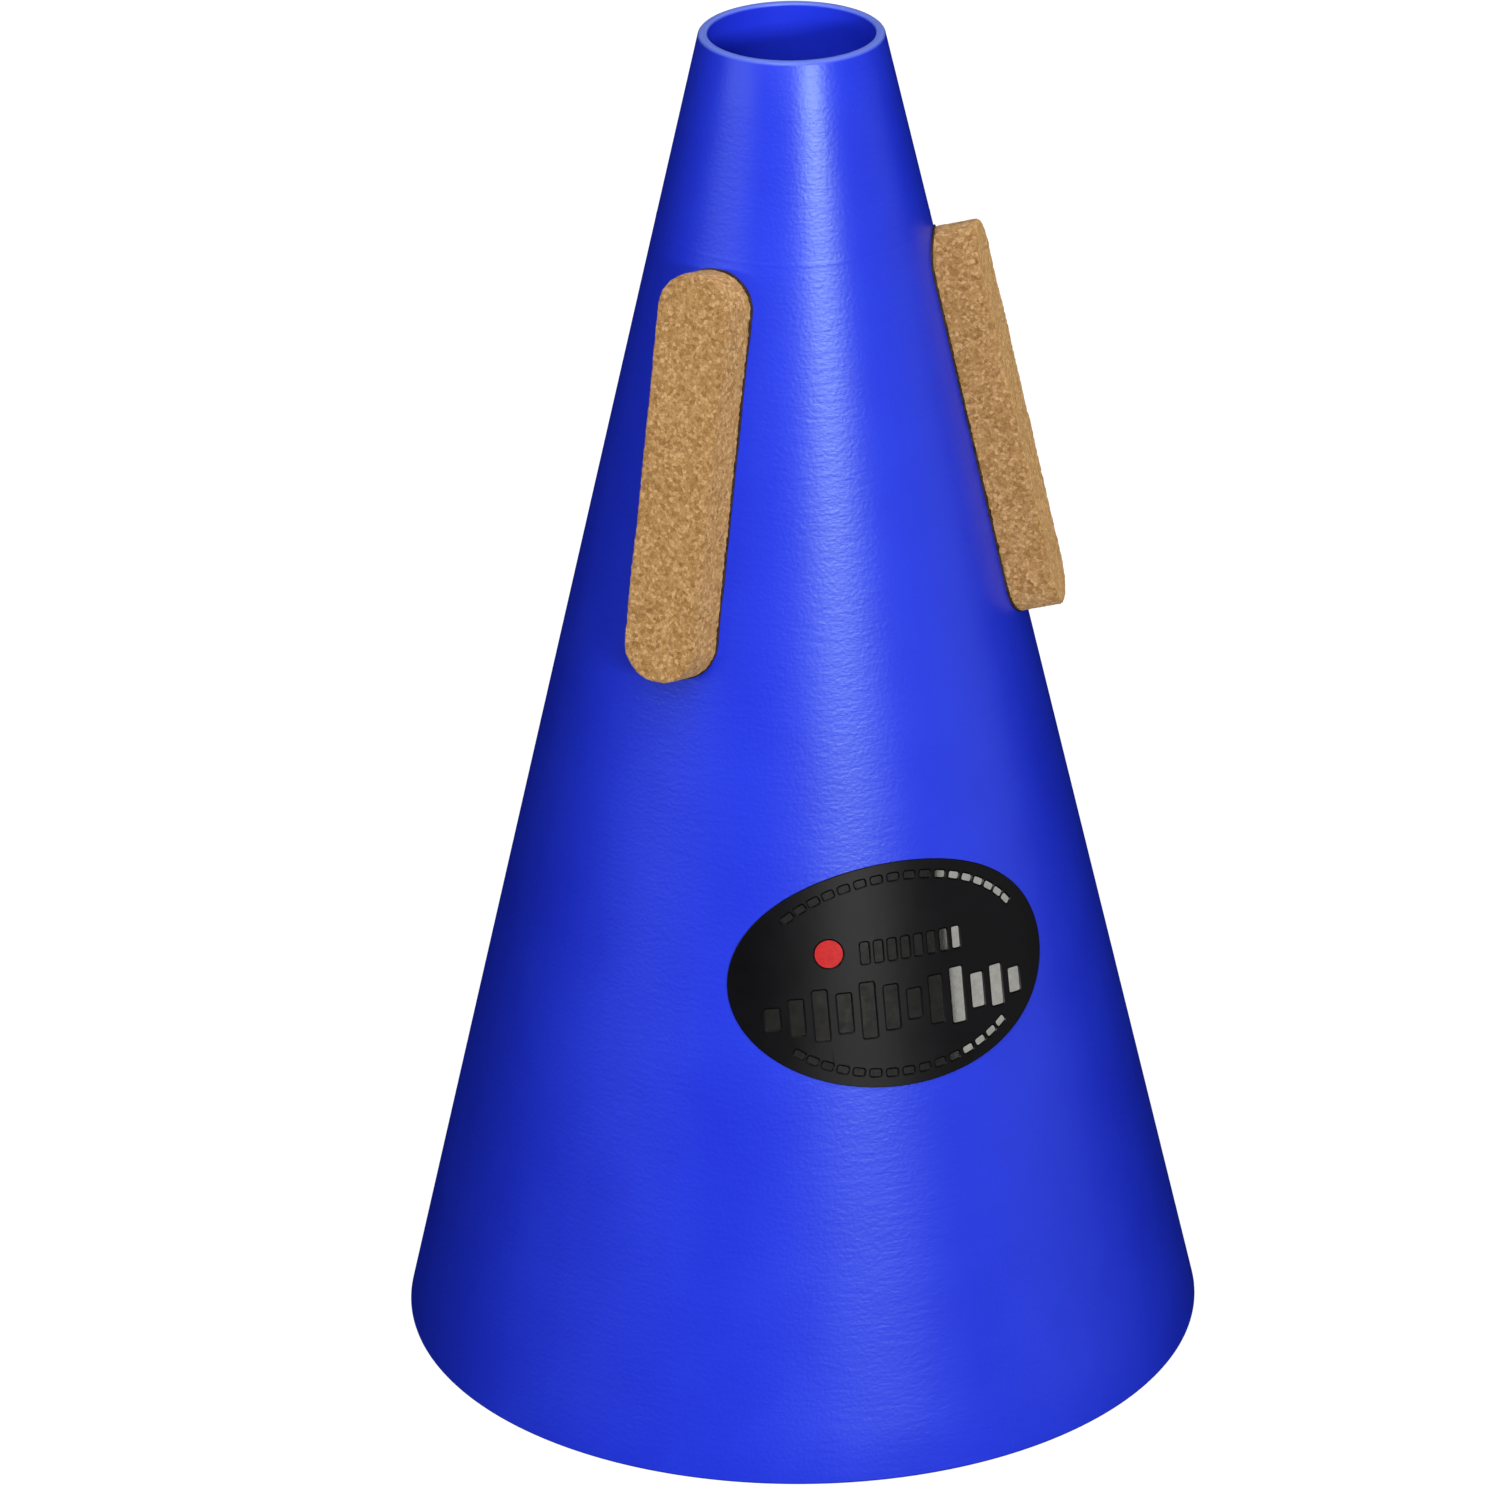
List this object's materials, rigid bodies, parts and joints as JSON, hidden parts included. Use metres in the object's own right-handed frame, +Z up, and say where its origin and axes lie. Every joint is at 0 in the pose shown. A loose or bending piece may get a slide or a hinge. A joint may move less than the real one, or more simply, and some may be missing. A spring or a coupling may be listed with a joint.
{
  "type": "straight mute",
  "caption": "Straight mute for a trumpet: hollow plastic cone closed at its wide end, with cork strips glued round the narrow half to grip the bell and an oval label.",
  "frame": {"origin": "centre of the wide end's rim, on the surface that the mute stands on", "axes": "+Z up the cone's axis to the open narrow end; -Y is the front, where the label is; +X completes the frame"},
  "size_m": [0.0998, 0.0998, 0.1696],
  "materials": {
    "moulded_plastic": "satin injection-moulded ABS, royal blue, fine texture",
    "end_plate_plastic": "satin injection-moulded ABS, royal blue",
    "plastic_cement": "set solvent cement, glossy, blue from the plastic it dissolved",
    "cork": "fine agglomerated cork, sanded, edges eased",
    "contact_cement": "thin dark layer of dried contact cement",
    "label_film": "black vinyl film, satin gloss",
    "label_foil": "silver hot-stamped foil",
    "label_red": "red printed ink"
  },
  "bodies": {
    "root": {"cone_shell": "moulded_plastic", "end_plate": "end_plate_plastic", "end_plate_cement": "plastic_cement", "cork_strip_left": "cork", "cork_strip_right": "cork", "cork_strip_rear": "cork", "cork_adhesive_left": "contact_cement", "cork_adhesive_right": "contact_cement", "cork_adhesive_rear": "contact_cement", "label_film": "label_film", "label_foil_print": "label_foil", "label_red_mark": "label_red"}
  },
  "joints": []
}
